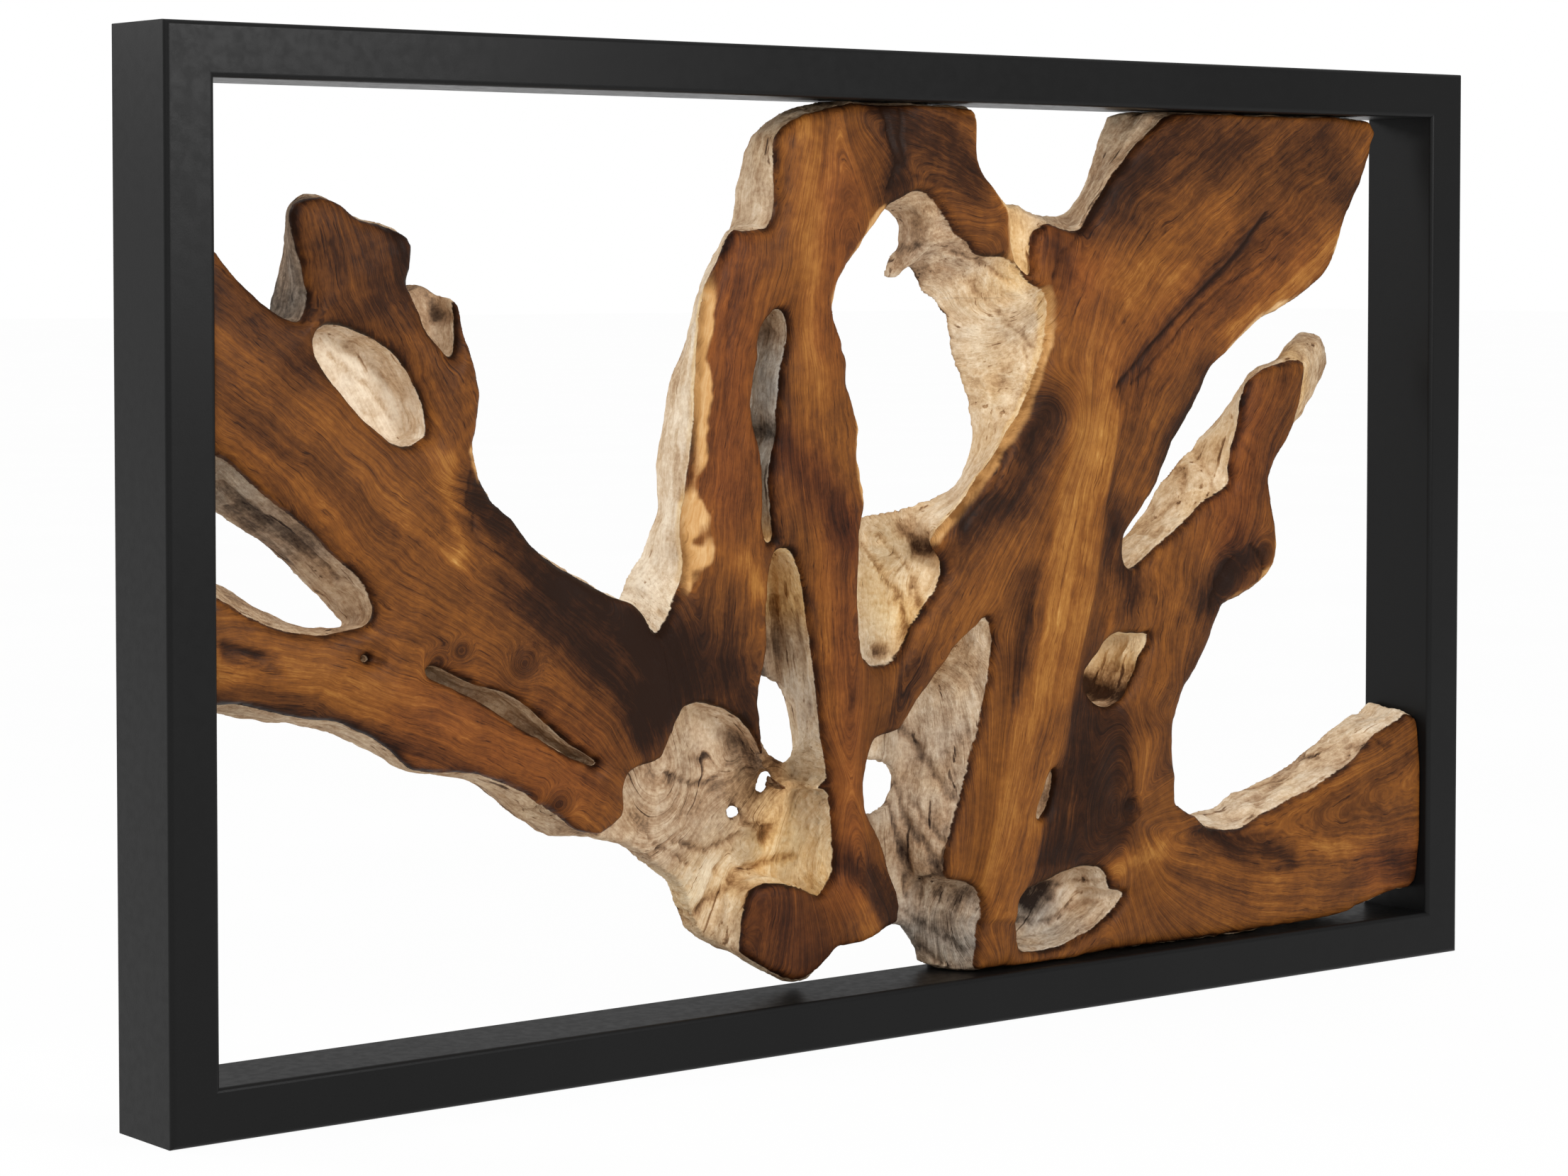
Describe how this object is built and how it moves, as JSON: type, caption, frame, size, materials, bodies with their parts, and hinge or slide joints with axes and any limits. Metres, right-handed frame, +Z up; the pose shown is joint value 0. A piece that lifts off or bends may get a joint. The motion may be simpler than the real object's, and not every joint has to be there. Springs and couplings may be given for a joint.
{
  "type": "framed root wall panel",
  "caption": "Rectangular open frame of black painted steel box section holding joined flat slices of natural teak root, hung on a wall.",
  "frame": {"origin": "on the back face of the top rail, midway between its two keyholes, in the plane that lies on the wall", "axes": "+X along the panel's width, to the right as seen from the front; +Y towards the wall; +Z up"},
  "size_m": [1, 0.06, 0.6],
  "materials": {
    "black_paint": "satin black powder coat",
    "teak": "oiled flat front, raw sides",
    "dowel_wood": "bare wood",
    "zinc_screw": "zinc plated"
  },
  "bodies": {
    "root": {"top_rail": "black_paint", "bottom_rail": "black_paint", "left_stile": "black_paint", "right_stile": "black_paint", "root_upper_left": "teak", "root_lower_left": "teak", "root_trunk": "teak", "root_arch": "teak", "root_knob": "teak", "root_right": "teak", "root_side_branch": "teak", "root_lower_right": "teak", "dowel_left_fork": "dowel_wood", "dowel_trunk_branch": "dowel_wood", "dowel_arch_trunk": "dowel_wood", "dowel_bridge": "dowel_wood", "dowel_knob": "dowel_wood", "dowel_side_branch": "dowel_wood", "dowel_lower_branch": "dowel_wood", "tab_left_upper": "black_paint", "tab_left_lower": "black_paint", "tab_top_arch": "black_paint", "tab_top_right": "black_paint", "tab_right_lower": "black_paint", "tab_bottom_ridge": "black_paint", "tab_bottom_right": "black_paint", "screw_left_upper_a": "zinc_screw", "screw_left_upper_b": "zinc_screw", "screw_left_lower_a": "zinc_screw", "screw_left_lower_b": "zinc_screw", "screw_top_arch_a": "zinc_screw", "screw_top_arch_b": "zinc_screw", "screw_top_right_a": "zinc_screw", "screw_top_right_b": "zinc_screw", "screw_right_lower_a": "zinc_screw", "screw_right_lower_b": "zinc_screw", "screw_bottom_ridge_a": "zinc_screw", "screw_bottom_ridge_b": "zinc_screw", "screw_bottom_right_a": "zinc_screw", "screw_bottom_right_b": "zinc_screw"}
  },
  "joints": []
}
